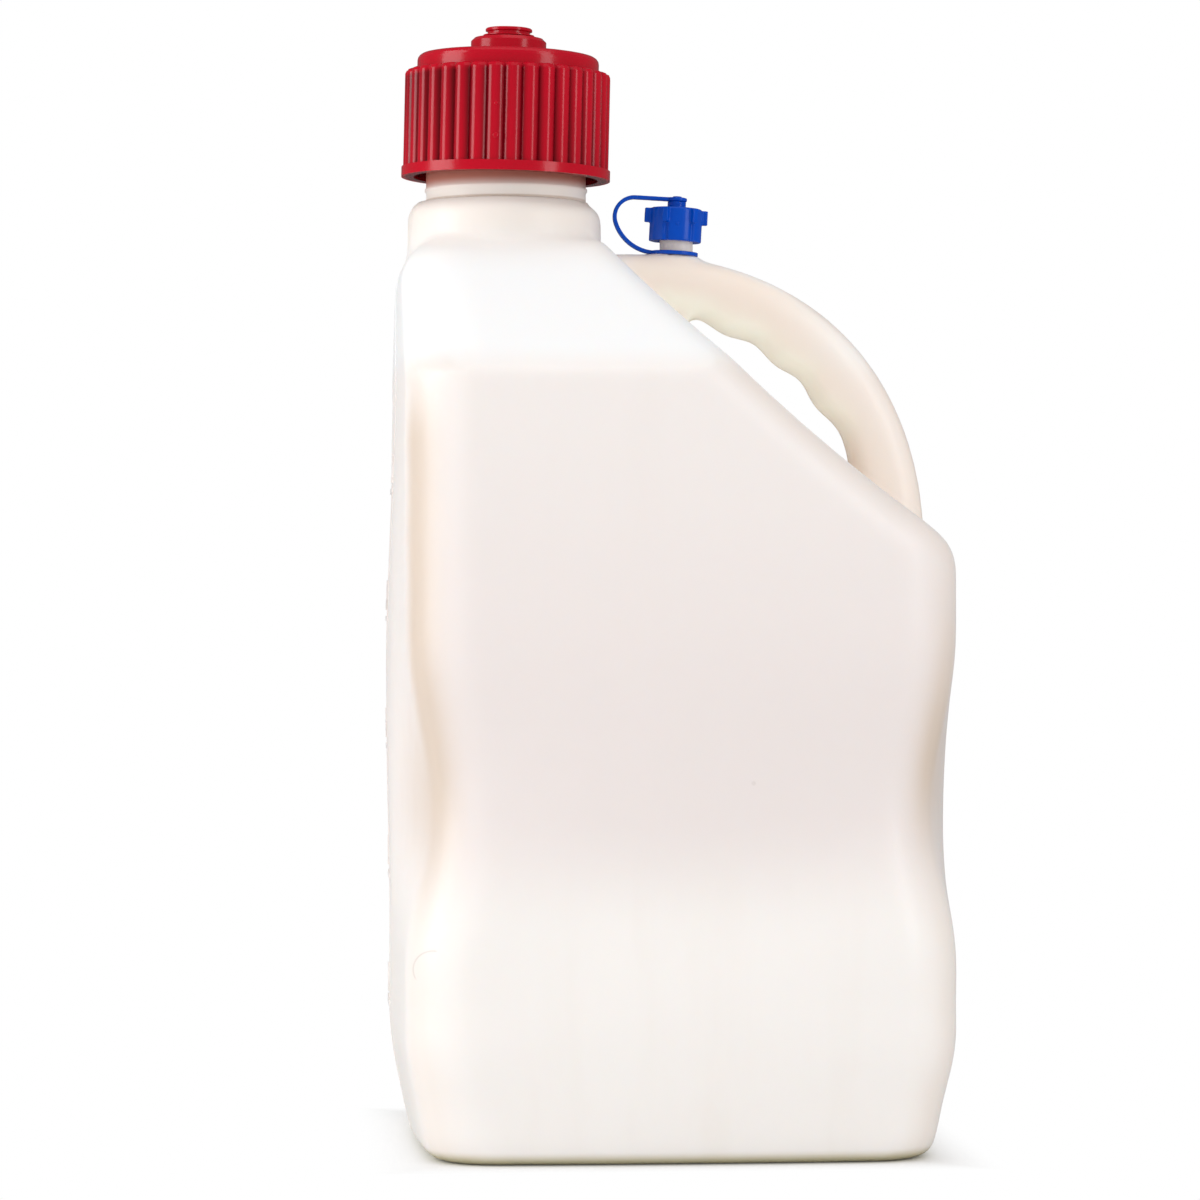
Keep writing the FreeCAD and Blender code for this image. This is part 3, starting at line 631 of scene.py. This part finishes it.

# %% [markdown]
# Along the handle light and shade are painted on. A rosy painted shade lies over its upper
# part, the outer curve takes a pale painted highlight near the root and a darker painted shade
# further out, and underneath lies a straw-coloured painted glow, where light soaks through to
# the fingers. These tints are held to the handle by a box of three masks.

# %% Painted light and shade of the handle

# Painted light and shade of the handle: rosy shade, darker shade on the outer curve, a straw glow
# underneath, and a pale colour that is also the highlight near the root.
ROSY_SHADE = shown(247, 232, 219)
RIM_SHADE = shown(229, 214, 204)
STRAW_GLOW = shown(255, 252, 236)
PALE = shown(252, 247, 243)
GRIP_LEFT = (-0.035, -0.012)
GRIP_FOOT = (0.20, 0.34)
GRIP_SIDE = (0.020, 0.026)
GRIP_SLOPE = 0.6
GRIP_END = (0.285, 0.350)
RIM_START = (0.05, 0.08)
OUTER_FACING = (0.90, 1.35)
DOWN_FACING = (-0.10, 0.75)


def grip_tint(finish, colour):
    """A rosy painted shade on the handle, a painted highlight and shade on its outer curve and a
    straw-coloured painted glow underneath.
    """
    x, y, z = finish.x, finish.y, finish.z
    nx, _, nz = finish.facing()
    on_grip = x.rises(*GRIP_LEFT) * z.rises(*GRIP_FOOT) * (1 - abs(y).rises(*GRIP_SIDE))
    upper = on_grip * (1 - (x + z * GRIP_SLOPE).rises(*GRIP_END))
    # Painted rosy shade on the upper handle.
    colour = finish.mix(upper, colour, ROSY_SHADE)
    outer = (nx + nz).rises(*OUTER_FACING)
    # Painted highlight on the outer curve near the root, painted shade further out.
    colour = finish.mix(upper * outer, colour, finish.mix(x.rises(*RIM_START), PALE, RIM_SHADE))
    under = on_grip * (nz * -1).rises(*DOWN_FACING)
    # Painted glow underneath, where light soaks through.
    return finish.mix(under, colour, STRAW_GLOW)


print("the handle's tints stop", GRIP_SIDE[1] * 1000, "mm from its middle plane")

# %% [markdown]
# Under the red cap the neck takes a painted reddish shade, the cap's colour cast onto it, and a
# painted line of shade lies where it meets the collar. Along the foot lies a thin olive line of
# painted shade, where the jug stands on the table. These are narrow bands, so each is a mask on
# the height alone, kept to its own side of the jug.

# %% Tints and painted shade of the neck and the foot

NECK_TINT = shown(241, 229, 219)
# Painted shade: the cap's red cast under it, and the line at the neck's root.
RED_SHADE = shown(206, 128, 112)
ROOT_SHADE = shown(196, 172, 150)
# Painted shade along the foot.
OLIVE_SHADE = shown(186, 176, 124)
NECK_RISE = (0.415, 0.450)
NECK_RIGHT = (-0.03, -0.02)
CAP_SHADE = (0.461, 0.4675)
SEAM_HEIGHT = COLLAR_TOP + 0.0004
SEAM_EDGE = (0.0002, 0.0011)
FOOT_EDGE = (0.0010, 0.0070)


def neck_tint(finish, colour):
    """A tanned neck, with painted reddish shade near the cap and a painted line of shade at its root."""
    neck_side = finish.z.rises(*NECK_RISE) * (1 - finish.x.rises(*NECK_RIGHT))
    colour = finish.mix(neck_side * 0.8, colour, NECK_TINT)
    # Painted reddish shade under the cap.
    colour = finish.mix(neck_side * finish.z.rises(*CAP_SHADE), colour, RED_SHADE)
    # A painted line of shade where the neck meets the collar.
    root_shade = (1 - abs(finish.z - SEAM_HEIGHT).rises(*SEAM_EDGE)) * neck_side
    return finish.mix(root_shade * 0.6, colour, ROOT_SHADE)


def foot_tint(finish, colour):
    """Painted shade: a thin olive line along the foot."""
    return finish.mix((1 - finish.z.rises(*FOOT_EDGE)) * 0.8, colour, OLIVE_SHADE)


print("the neck's root is at", round(SEAM_HEIGHT * 1000, 1), "mm")

# %% [markdown]
# A used jug has small marks: here a fleck in the front wall and a shallow curved scrape near
# the lower left corner. They are too small for meshes and too few for noise. Each is a
# distance on the front, seen flat: near a point for the fleck, near a ring for the scrape.

# %% A fleck and a scuff on the front

GRIME = shown(120, 100, 84)
FRONT = (0.05, 0.20)
FLECK_PLACE = (0.0306, 0.178)
FLECK_EDGE = (0.0006, 0.0014)
SCUFF_PLACE = (-0.1173, 0.0913)
SCUFF_RADIUS = 0.0093
SCUFF_EDGE = (0.0001, 0.0006)
SCUFF_RIGHT = (-0.1170, -0.1155)
SCUFF_FOOT = (0.0860, 0.0880)


def on_front(finish):
    _, ny, _ = finish.facing()
    return (ny * -1).rises(*FRONT)


def fleck_mask(finish):
    away = finish.distance((finish.x, finish.z), FLECK_PLACE)
    return on_front(finish) * (1 - away.rises(*FLECK_EDGE))


def scuff_mask(finish):
    """Part of a thin ring: its upper left."""
    away = abs(finish.distance((finish.x, finish.z), SCUFF_PLACE) - SCUFF_RADIUS)
    arc = (1 - finish.x.rises(*SCUFF_RIGHT)) * finish.z.rises(*SCUFF_FOOT)
    return on_front(finish) * (1 - away.rises(*SCUFF_EDGE)) * arc


print("the scuff is", round(SCUFF_RADIUS * 2000, 1), "mm across")

# %% [markdown]
# The tints and the painted light and shade lie one over another on a white that drifts a little
# and is drawn down in faint streaks, as hot plastic hangs before the mould closes on it. The
# mould leaves a faint orange peel, which is a bump. The waxy depth comes from subsurface
# scattering, since a plain surface of the same colour looks like painted metal.

# %% Milky plastic

CLOUDED = shown(249, 243, 239)
STREAKED = shown(242, 234, 226)
HANGING = (1, 1, 0.1)
SOAK = (0.012, 0.009, 0.007)


def milky_finish():
    """Cloudy white plastic with every tint of the jug and its painted light and shade."""
    finish = Finish("milky plastic")
    cloud = finish.noise(scale=9.0, detail=3.0)
    streak = finish.noise(scale=34.0, detail=3.0, stretch=HANGING).rises(0.45, 0.75)
    colour = finish.mix(streak * 0.3, finish.mix(cloud, PALE, CLOUDED), STREAKED)
    for tint in (wall_tint, corner_tint, grip_tint, neck_tint, foot_tint):
        colour = tint(finish, colour)
    colour = finish.mix(fleck_mask(finish) * 0.1, colour, GRIME)
    scuff = scuff_mask(finish)
    colour = finish.mix(scuff * 0.18, colour, GRIME)
    peel = finish.noise(scale=900.0, detail=2.0) * 0.3 + finish.noise(scale=120.0, detail=2.0)
    finish.set({"Base Color": colour, "Normal": finish.bump(peel, strength=0.12, distance=0.0006)})
    finish.set({"Roughness": 0.32 + cloud * 0.12 + streak * 0.08 + scuff * 0.2, "IOR": 1.53})
    finish.set({"Subsurface Weight": 0.2, "Subsurface Radius": SOAK, "Subsurface Scale": 1.0})
    print(finish.material.name, "has", len(finish.tree.nodes), "nodes")
    return finish.material


milky = milky_finish()

# %% [markdown]
# ## The coloured caps
#
# Both caps are injection moulded: glossier than the jug, with a hard even colour and the
# finest of surface texture. A flat colour would look printed, so it drifts between two near
# shades. The red cap's ribs stand close, and little light gets in between them. The even light
# of a white room would fill the grooves all the same, so painted shade darkens them by how near
# they lie to the cap's axis.

# %% Red and blue plastic

RED = shown(194, 2, 34)
RED_CLOUDED = shown(180, 2, 28)
# Painted shade for the grooves between the ribs.
RED_GROOVE_SHADE = shown(118, 2, 16)
BLUE = shown(0, 78, 196)
BLUE_CLOUDED = shown(0, 68, 176)
GROOVE_RADIUS = 0.0482
RIDGE_RADIUS = 0.0506
RIB_TOP = (0.5170, 0.5200)


def cap_finish(name, pale, deep, roughness):
    """A glossy moulded plastic, and its colour, drifting between two near shades."""
    finish = Finish(name)
    cloud = finish.noise(scale=60.0, detail=3.0)
    peel = finish.noise(scale=1400.0, detail=2.0)
    finish.set({"Roughness": roughness + cloud * 0.1, "Specular IOR Level": 0.25})
    finish.set({"Normal": finish.bump(peel, strength=0.1, distance=0.0003), "IOR": 1.5})
    return finish, finish.mix(cloud, pale, deep)


def red_finish():
    """Red plastic with painted shade in the grooves between the ribs."""
    finish, colour = cap_finish("red plastic", RED, RED_CLOUDED, 0.16)
    from_axis = finish.distance((finish.x, finish.y), neck_axis)
    # Painted shade, deepest in the grooves.
    groove_shade = (1 - from_axis.rises(GROOVE_RADIUS, RIDGE_RADIUS)) * (1 - finish.z.rises(*RIB_TOP))
    finish.set({"Base Color": finish.mix(groove_shade, colour, RED_GROOVE_SHADE)})
    finish.set({"Coat Weight": 0.25, "Coat Roughness": 0.12})
    return finish.material


def blue_finish(name, roughness):
    finish, colour = cap_finish(name, BLUE, BLUE_CLOUDED, roughness)
    finish.set({"Base Color": colour})
    return finish.material


red = red_finish()
blue = blue_finish("blue plastic", roughness=0.16)
blue_strap = blue_finish("blue strap plastic", roughness=0.22)
print("the caps take", [material.name for material in (red, blue, blue_strap)])

# %% [markdown]
# ## Dressing the pieces
#
# Every piece takes the plastic that it is moulded from. The solids take it on the slots that
# they came with, and the made pieces get one of their own.

# %% Each plastic onto its solid and its pieces

plastics = (
    ("jug_body", milky, (jug, neck, spout, parting_line, *marks)),
    ("cap", red, red_pips),
    ("vent_cap", blue, (vent, blue_pip)),
    ("vent_strap", blue_strap, (tether,)),
)
for node_name, material, pieces in plastics:
    for slot in nodes[node_name].material_slots:
        slot.material = material
    for piece in pieces:
        piece.data.materials.append(material)
    print(node_name, "and", len(pieces), "pieces take", material.name)

# %% [markdown]
# ## The table
#
# The jug stands on a white table that runs out into a white backdrop. A real studio bends a
# sheet of paper up behind the jug. Here the table near the jug is a plain lit surface that
# takes its shadow, and further off it fades into pure white, so that no horizon shows and no
# lamp has to be turned up for it.

# %% Table

TABLE_SIZE = 12
FOOT_X = 0.128
FOOT_Y = 0.120
SHADOW_REACH = (-0.02, 0.02)
ROOM_SHINE = 0.12


def add_table():
    bpy.ops.mesh.primitive_plane_add(size=TABLE_SIZE)
    table = bpy.context.object
    table.name = "table"
    finish = Finish("table white")
    finish.set({"Base Color": (0.9, 0.9, 0.9), "Roughness": 0.7})
    beyond = (abs(finish.x) - FOOT_X).math("MAXIMUM", abs(finish.y) - FOOT_Y)
    seen, mirrored = finish.rays()
    glow = finish.node("ShaderNodeEmission", inputs={"Strength": seen + mirrored * ROOM_SHINE})
    mask = seen * beyond.rises(*SHADOW_REACH) + mirrored
    lit = Field(finish, finish.shader.outputs[0])
    mixed = finish.node("ShaderNodeMixShader", inputs={0: mask, 1: lit, 2: glow})
    finish.feed(finish.tree.nodes["Material Output"].inputs["Surface"], mixed)
    table.data.materials.append(finish.material)
    print("the table is", TABLE_SIZE, "m wide")


add_table()

# %% [markdown]
# ## Light
#
# Pale plastic is easily washed out, so the room itself gives most of the light and the three
# soft boxes only shape it. The camera sees the room as pure white. A glossy cap would mirror
# that white and turn pink, so what it mirrors is a dim room.

# %% Room light and soft boxes

ROOM_LIGHT = 0.76
LAMPS = (
    ("overhead", (0.1, -0.3, 1.7), 1.4, 1.2, 3),
    ("right box", (1.3, -1.3, 0.8), 0.5, 1.4, 7),
    ("left box", (-1.5, -0.3, 0.6), 0.8, 1.4, 12),
)


def light_room():
    world = bpy.data.worlds.new("studio white")
    world.use_nodes = True
    room = Nodes(world.node_tree)
    seen, mirrored = room.rays()
    lit = ROOM_LIGHT + mirrored * (ROOM_SHINE - ROOM_LIGHT)
    sky = room.tree.nodes["Background"]
    room.feed(sky.inputs["Color"], (1, 1, 1))
    room.feed(sky.inputs["Strength"], lit + seen * (1 - lit))
    bpy.context.scene.world = world


def add_lamp(name, place, aim, width, height, power):
    data = bpy.data.lights.new(name, "AREA")
    data.shape = "RECTANGLE"
    data.size = width
    data.size_y = height
    data.energy = power
    lamp = bpy.data.objects.new(name, data)
    bpy.context.scene.collection.objects.link(lamp)
    lamp.location = place
    lamp.rotation_euler = (aim - lamp.location).to_track_quat("-Z", "Y").to_euler()
    print(name, "shines at", power, "W from", round((aim - lamp.location).length, 2), "m")


light_room()
middle = (low + high) / 2
for name, place, width, height, power in LAMPS:
    add_lamp(name, place, middle, width, height, power)

# %% [markdown]
# ## Camera
#
# A long lens, level with the middle of the jug and turned a little to show a sliver of its
# narrow side. A short lens from close by would fill the view as well, but it would spread the
# foot and shrink the cap.

# %% Camera

TURN = math.radians(-4.5)
DISTANCE = 2.187
EYE_HEIGHT = 0.263
SIDE_SHIFT = -0.0313
LENS = 133.9
LEVEL = math.radians(90)


def add_camera():
    data = bpy.data.cameras.new("camera")
    data.lens = LENS
    camera = bpy.data.objects.new("camera", data)
    bpy.context.scene.collection.objects.link(camera)
    right = Vector((math.cos(TURN), math.sin(TURN), 0))
    ahead = Vector((-math.sin(TURN), math.cos(TURN), 0))
    camera.location = Vector((0, 0, EYE_HEIGHT)) + right * SIDE_SHIFT - ahead * DISTANCE
    camera.rotation_euler = (LEVEL, 0, TURN)
    bpy.context.scene.camera = camera
    print("the camera stands at", [round(value, 3) for value in camera.location], "m")


add_camera()
bpy.context.scene.view_settings.view_transform = "Standard"

# %% [markdown]
# ## The size of the jug
#
# The dressed jug has to keep the size of its solids, since other things are fitted to them.
